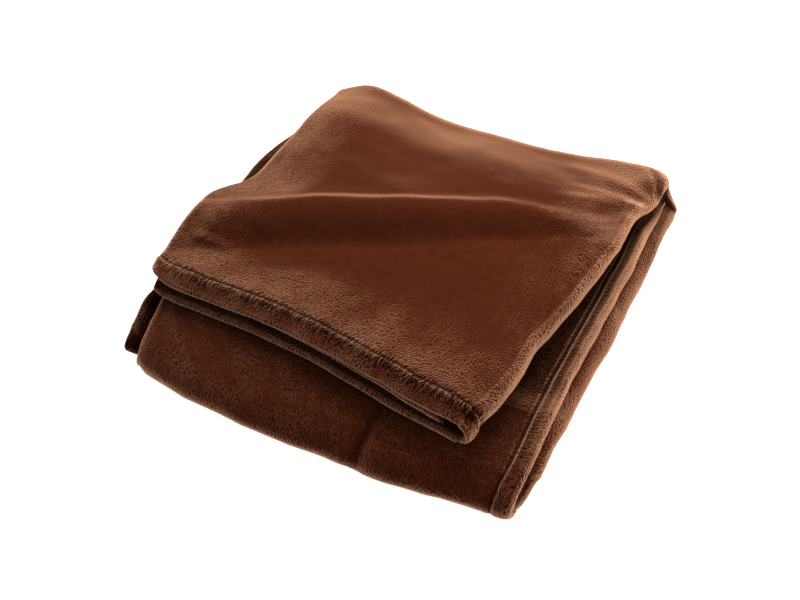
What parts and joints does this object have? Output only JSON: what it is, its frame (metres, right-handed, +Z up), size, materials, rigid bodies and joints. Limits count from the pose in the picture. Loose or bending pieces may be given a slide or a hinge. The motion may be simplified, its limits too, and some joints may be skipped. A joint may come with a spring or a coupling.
{
  "type": "folded flannel throw",
  "caption": "Plush flannel throw folded lengthwise and then back and forth, its top section turned back at an angle.",
  "frame": {"origin": "middle of the folded throw's box, on the surface that it rests on", "axes": "+Z up, +X across the throw to its stitched side hem, +Y to the back, where the top section folds over"},
  "size_m": [0.405, 0.4362, 0.0854],
  "materials": {
    "flannel": "brushed plush pile, matt with a soft sheen at the edges"
  },
  "bodies": {
    "root": {"throw": "flannel"}
  },
  "joints": []
}
